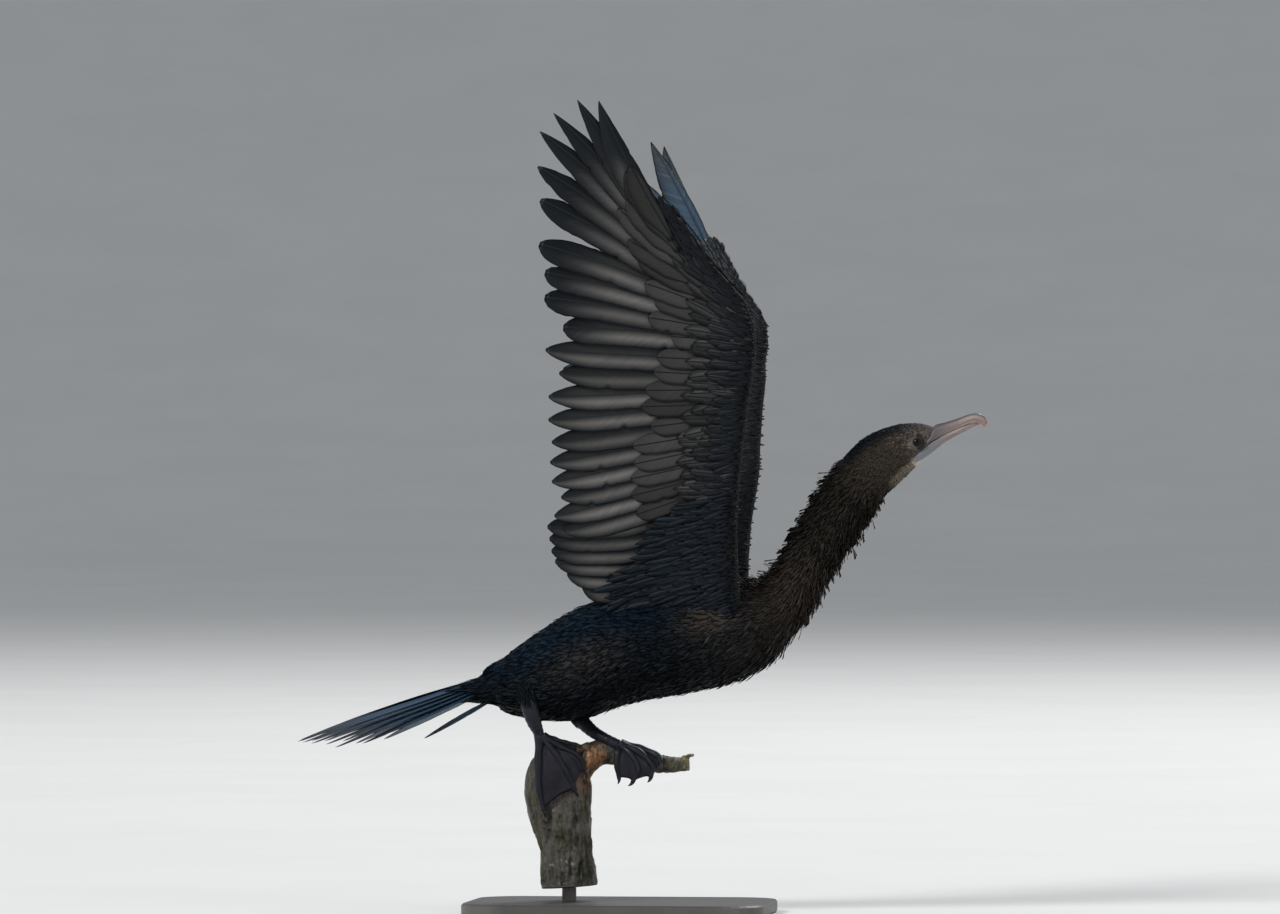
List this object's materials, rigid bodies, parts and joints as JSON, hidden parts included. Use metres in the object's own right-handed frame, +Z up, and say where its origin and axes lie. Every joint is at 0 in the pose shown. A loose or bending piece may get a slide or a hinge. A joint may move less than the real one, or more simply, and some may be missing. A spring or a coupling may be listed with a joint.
{
  "type": "cormorant",
  "caption": "Life-size still model of a little cormorant with both wings raised, perched on a broken branch that a flat display base and a short rod hold up.",
  "frame": {"origin": "middle of the display base's underside, on the surface that the model stands on", "axes": "+Z up, +X the way the bird faces, +Y the bird's left side"},
  "size_m": [0.4335, 0.2931, 0.5047],
  "materials": {
    "plumage": "soft black contour feathers over the body, with a green-blue gloss, dark brown on the neck",
    "flight_feathers": "satin black-grey vanes with dark edges, blue gloss above",
    "bill_horn": "pale pinkish horn, darker along the ridge",
    "eye": "wet dark eye",
    "foot_skin": "wet black skin with fine scales",
    "claw_horn": "dark horn",
    "perch_wood": "rough wet bark",
    "stand_metal": "satin dark paint"
  },
  "bodies": {
    "root": {"head": "plumage", "neck_upper": "plumage", "neck_lower": "plumage", "torso": "plumage", "bill_upper": "bill_horn", "bill_lower": "bill_horn", "eye_right": "eye", "eye_left": "eye", "wing_right_inner": "flight_feathers", "wing_right_forearm": "flight_feathers", "wing_right_hand": "flight_feathers", "wing_left_inner": "flight_feathers", "wing_left_forearm": "flight_feathers", "wing_left_hand": "flight_feathers", "tail": "flight_feathers", "leg_right": "foot_skin", "leg_left": "foot_skin", "foot_right": "foot_skin", "foot_left": "foot_skin", "claw_right_1": "claw_horn", "claw_right_2": "claw_horn", "claw_right_3": "claw_horn", "claw_right_4": "claw_horn", "claw_left_1": "claw_horn", "claw_left_2": "claw_horn", "claw_left_3": "claw_horn", "claw_left_4": "claw_horn", "perch_stem": "perch_wood", "stand_base": "stand_metal", "stand_rod": "stand_metal"}
  },
  "joints": []
}
